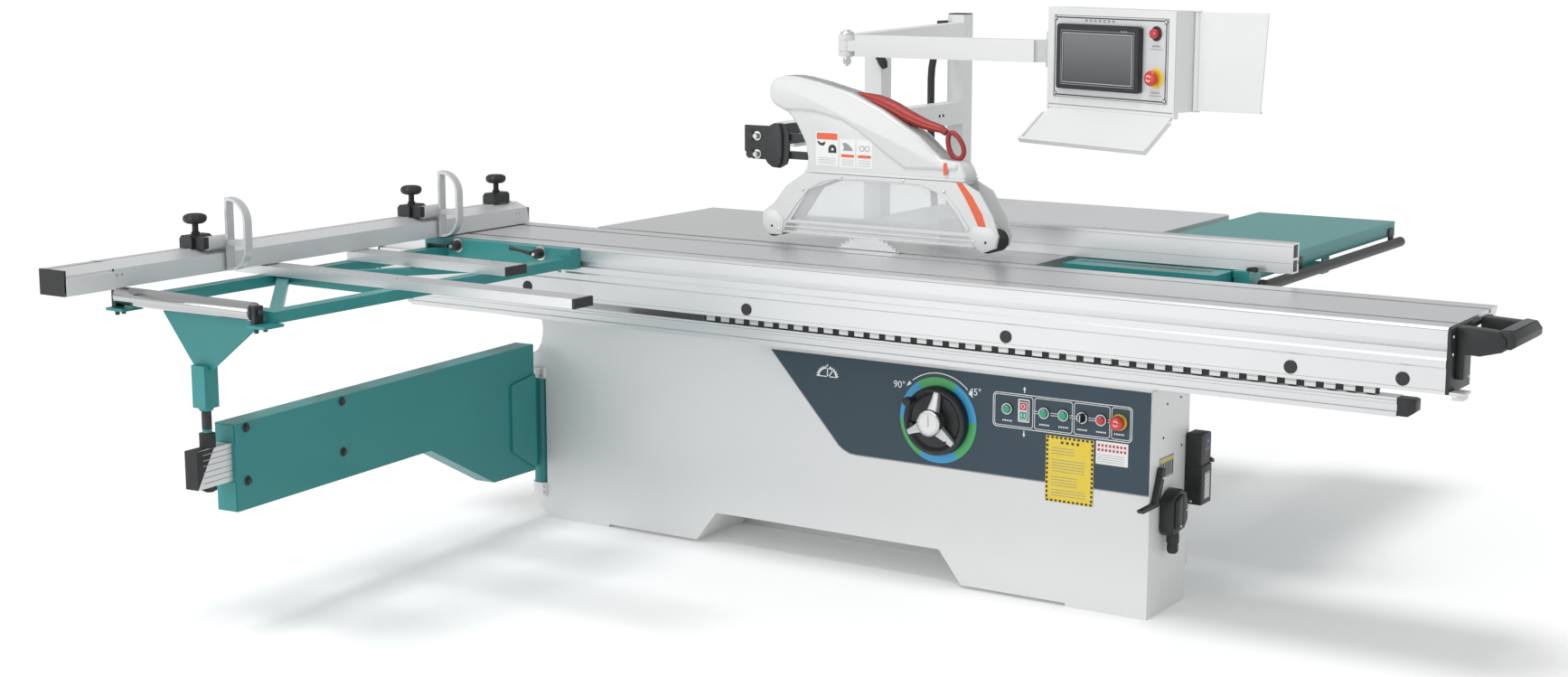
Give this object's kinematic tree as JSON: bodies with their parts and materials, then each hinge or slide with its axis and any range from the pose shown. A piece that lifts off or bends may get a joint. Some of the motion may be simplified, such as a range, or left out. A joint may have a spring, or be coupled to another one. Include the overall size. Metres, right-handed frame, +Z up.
{
  "type": "sliding-table panel saw",
  "caption": "Sliding-table panel saw with tilting blade, scoring blade, parallelogram blade guard, outrigger with crosscut fence, swing arm, gantry and hanging control box.",
  "frame": {"origin": "on the floor, at the centre of the rectangle of four anchor holes", "axes": "+X along the sliding table's travel, towards the end with the push handle; +Y away from the operator, towards the gantry; +Z up"},
  "size_m": [3.345, 3.2635, 1.559],
  "materials": {
    "white_paint": "satin",
    "teal_paint": "satin",
    "anodised": "satin",
    "ground_iron": "ground",
    "machined_steel": "satin",
    "chrome_plate": "polished",
    "black_plastic": "matte",
    "red_plastic": "gloss",
    "red_rubber": "matte",
    "green_plastic": "gloss",
    "clear_window": "clear",
    "black_paint": "satin",
    "motor_paint": "satin",
    "belt_rubber": "matte",
    "panel_plate": "satin"
  },
  "bodies": {
    "base": {"front_cabinet": "white_paint", "rear_chassis": "white_paint", "slide_rail": "anodised", "cast_table": "ground_iron", "rear_extension": "anodised", "side_extension": "teal_paint", "gantry_frame": "white_paint", "conduit": "black_plastic", "guard_bracket": "black_paint", "electrical_boxes": "black_plastic", "rip_bar": "machined_steel", "arm_hinge": "white_paint"},
    "tilt_handwheel": {"handwheel": "black_plastic"},
    "start_push": {"start_button": "green_plastic"},
    "rocker": {"rocker_switch": "anodised"},
    "saw_push": {"saw_button": "green_plastic"},
    "scoring_push": {"scoring_button": "green_plastic"},
    "selector": {"selector_knob": "black_plastic"},
    "stop_push": {"stop_button": "red_plastic"},
    "emergency_push": {"emergency_stop": "red_plastic"},
    "table": {"sliding_table": "anodised", "table_handle": "black_plastic"},
    "cage": {"roller_cage": "machined_steel"},
    "outrigger": {"outrigger_frame": "teal_paint", "support_bars": "anodised", "roller_brackets": "black_plastic"},
    "lever_left": {"clamp_lever_left": "black_plastic"},
    "lever_right": {"clamp_lever_right": "black_plastic"},
    "rig_roller": {"support_roller": "chrome_plate"},
    "fence": {"crosscut_fence": "anodised"},
    "fence_slide": {"fence_extension": "anodised"},
    "stop_1": {"flip_stop_1": "black_plastic"},
    "stop_2": {"flip_stop_2": "black_plastic"},
    "stop_3": {"flip_stop_3": "black_plastic"},
    "plate_1": {"stop_plate_1": "anodised"},
    "plate_2": {"stop_plate_2": "anodised"},
    "arm": {"swing_arm": "teal_paint"},
    "arm_tube": {"telescopic_tube": "anodised"},
    "tilt_unit": {"tilt_frame": "motor_paint"},
    "lift_unit": {"saw_carriage": "motor_paint", "drive_belt": "belt_rubber"},
    "blade": {"saw_blade": "machined_steel"},
    "score": {"scoring_blade": "machined_steel"},
    "motor_rotor": {"motor_pulley": "machined_steel"},
    "guard_link_upper": {"guard_arm_upper": "black_paint"},
    "guard_link_lower": {"guard_arm_lower": "black_paint"},
    "guard": {"guard_shell": "white_paint", "guard_arch": "white_paint", "guard_window": "clear_window", "guard_handle": "red_rubber"},
    "guard_wheel_left": {"guard_roller_left": "black_plastic"},
    "guard_wheel_right": {"guard_roller_right": "black_plastic"},
    "boom": {"boom_arm": "white_paint"},
    "console": {"control_box": "white_paint", "screen_panel": "panel_plate"},
    "console_stop": {"box_stop_button": "red_plastic"},
    "shelf": {"keyboard_shelf": "white_paint"},
    "wing": {"wing_panel": "white_paint"},
    "rip": {"rip_fence": "anodised", "rip_carriage": "teal_paint"}
  },
  "joints": [
    {"name": "table_slide", "type": "slide", "parent": "base", "child": "table", "axis": [1, 0, 0], "range_m": [-1.25, 1.25]},
    {"name": "cage_slide", "type": "slide", "parent": "base", "child": "cage", "axis": [1, 0, 0], "range_m": [-0.65, 0.65]},
    {"name": "outrigger_slide", "type": "slide", "parent": "table", "child": "outrigger", "axis": [1, 0, 0], "range_m": [-0.2, 0.6]},
    {"name": "clamp_left", "type": "hinge", "parent": "outrigger", "child": "lever_left", "pos_m": [-1.01, -0.64, 0.872], "axis": [0, 1, 0], "range_deg": [0, 8]},
    {"name": "clamp_right", "type": "hinge", "parent": "outrigger", "child": "lever_right", "pos_m": [-0.706, -0.64, 0.872], "axis": [0, 1, 0], "range_deg": [-60, 40]},
    {"name": "support_roller_spin", "type": "hinge", "parent": "outrigger", "child": "rig_roller", "pos_m": [-0.875, -1.8, 0.867], "axis": [1, 0, 0], "continuous": true},
    {"name": "fence_pivot", "type": "hinge", "parent": "outrigger", "child": "fence", "pos_m": [-1.11, -0.62875, 0.893], "axis": [0, 0, 1], "range_deg": [0, 45]},
    {"name": "fence_extend", "type": "slide", "parent": "fence", "child": "fence_slide", "axis": [0, -1, 0], "range_m": [0, 0.5]},
    {"name": "stop_slide_1", "type": "slide", "parent": "fence", "child": "stop_1", "axis": [0, 1, 0], "range_m": [-0.28, 0.65]},
    {"name": "stop_slide_2", "type": "slide", "parent": "fence", "child": "stop_2", "axis": [0, 1, 0], "range_m": [-0.65, 0.25]},
    {"name": "stop_slide_3", "type": "slide", "parent": "fence", "child": "stop_3", "axis": [0, 1, 0], "range_m": [-0.2, 0.04]},
    {"name": "stop_flip_1", "type": "hinge", "parent": "stop_1", "child": "plate_1", "pos_m": [-1.085, -1.52, 0.968], "axis": [0, -1, 0], "range_deg": [0, 90]},
    {"name": "stop_flip_2", "type": "hinge", "parent": "stop_2", "child": "plate_2", "pos_m": [-1.085, -0.704, 0.968], "axis": [0, -1, 0], "range_deg": [0, 90]},
    {"name": "arm_swing", "type": "hinge", "parent": "base", "child": "arm", "pos_m": [-1.015, -0.28, 0.27], "axis": [0, 0, 1], "range_deg": [-42, 42]},
    {"name": "arm_extend", "type": "slide", "parent": "arm", "child": "arm_tube", "axis": [0.0872, -0.9962, 0], "range_m": [0, 0.65]},
    {"name": "blade_tilt", "type": "hinge", "parent": "base", "child": "tilt_unit", "pos_m": [0, -0.215, 0.89], "axis": [-1, 0, 0], "range_deg": [0, 45]},
    {"name": "blade_lift", "type": "slide", "parent": "tilt_unit", "child": "lift_unit", "axis": [0, 0, 1], "range_m": [-0.045, 0.035]},
    {"name": "blade_spin", "type": "hinge", "parent": "lift_unit", "child": "blade", "pos_m": [0.101, -0.215, 0.784], "axis": [0, 1, 0], "continuous": true},
    {"name": "motor_spin", "type": "hinge", "parent": "lift_unit", "child": "motor_rotor", "pos_m": [0.225, -0.08, 0.765], "axis": [0, 1, 0], "continuous": true},
    {"name": "scoring_spin", "type": "hinge", "parent": "tilt_unit", "child": "score", "pos_m": [0.325, -0.215, 0.832], "axis": [0, 1, 0], "continuous": true},
    {"name": "tilt_handwheel_turn", "type": "hinge", "parent": "base", "child": "tilt_handwheel", "pos_m": [0.377, -0.334, 0.458], "axis": [0, 1, 0], "range_deg": [0, 720]},
    {"name": "guard_lift", "type": "hinge", "parent": "base", "child": "guard_link_upper", "pos_m": [-0.267, -0.222, 1.193], "axis": [0, -1, 0], "range_deg": [0, 20]},
    {"name": "guard_lift_lower", "type": "hinge", "parent": "base", "child": "guard_link_lower", "pos_m": [-0.267, -0.222, 1.142], "axis": [0, -1, 0], "range_deg": [0, 20]},
    {"name": "guard_level", "type": "hinge", "parent": "guard_link_upper", "child": "guard", "pos_m": [-0.062, -0.222, 1.193], "axis": [0, -1, 0], "range_deg": [-20, 0]},
    {"name": "guard_wheel_left_spin", "type": "hinge", "parent": "guard", "child": "guard_wheel_left", "pos_m": [-0.19, -0.215, 0.944], "axis": [0, 1, 0], "continuous": true},
    {"name": "guard_wheel_right_spin", "type": "hinge", "parent": "guard", "child": "guard_wheel_right", "pos_m": [0.49, -0.215, 0.944], "axis": [0, 1, 0], "continuous": true},
    {"name": "boom_swing", "type": "hinge", "parent": "base", "child": "boom", "pos_m": [-0.103, 0, 1.44], "axis": [0, 0, 1], "range_deg": [-80, 28]},
    {"name": "console_swivel", "type": "hinge", "parent": "boom", "child": "console", "pos_m": [0.53393, 0.02834, 1.44], "axis": [0, 0, 1], "range_deg": [-35, 45]},
    {"name": "console_stop_push", "type": "slide", "parent": "console", "child": "console_stop", "axis": [0.3551, 0.9348, 0], "range_m": [0, 0.004], "stiffness_N_per_m": 400, "springref_m": -0.002},
    {"name": "shelf_fold", "type": "hinge", "parent": "console", "child": "shelf", "pos_m": [0.7654, -0.09168, 1.295], "axis": [-0.9348, 0.3551, 0], "range_deg": [0, 74]},
    {"name": "wing_swing", "type": "hinge", "parent": "console", "child": "wing", "pos_m": [1.01738, -0.12108, 1.431], "axis": [0, 0, 1], "range_deg": [-60, 20]},
    {"name": "rip_slide", "type": "slide", "parent": "base", "child": "rip", "axis": [0, 1, 0], "range_m": [-0.15, 1.1]},
    {"name": "start_press", "type": "slide", "parent": "base", "child": "start_push", "axis": [0, 1, 0], "range_m": [0, 0.004], "stiffness_N_per_m": 400, "springref_m": -0.002},
    {"name": "saw_press", "type": "slide", "parent": "base", "child": "saw_push", "axis": [0, 1, 0], "range_m": [0, 0.004], "stiffness_N_per_m": 400, "springref_m": -0.002},
    {"name": "scoring_press", "type": "slide", "parent": "base", "child": "scoring_push", "axis": [0, 1, 0], "range_m": [0, 0.004], "stiffness_N_per_m": 400, "springref_m": -0.002},
    {"name": "stop_press", "type": "slide", "parent": "base", "child": "stop_push", "axis": [0, 1, 0], "range_m": [0, 0.004], "stiffness_N_per_m": 400, "springref_m": -0.002},
    {"name": "emergency_press", "type": "slide", "parent": "base", "child": "emergency_push", "axis": [0, 1, 0], "range_m": [0, 0.004], "stiffness_N_per_m": 400, "springref_m": -0.002},
    {"name": "rocker_tilt", "type": "hinge", "parent": "base", "child": "rocker", "pos_m": [0.637, -0.298, 0.514], "axis": [1, 0, 0], "range_deg": [-8, 8]},
    {"name": "selector_turn", "type": "hinge", "parent": "base", "child": "selector", "pos_m": [0.806, -0.3, 0.514], "axis": [0, 1, 0], "range_deg": [-45, 45]}
  ],
  "couplings": [
    {"joint": "cage_slide", "follows": "table_slide", "ratio": 0.5},
    {"joint": "arm_swing", "follows": "table_slide", "rad_per_m": 0.572},
    {"joint": "tilt_handwheel_turn", "follows": "blade_tilt", "ratio": 16},
    {"joint": "guard_lift_lower", "follows": "guard_lift", "ratio": 1},
    {"joint": "guard_level", "follows": "guard_lift", "ratio": -1},
    {"joint": "motor_spin", "follows": "blade_spin", "ratio": 1.0857}
  ]
}
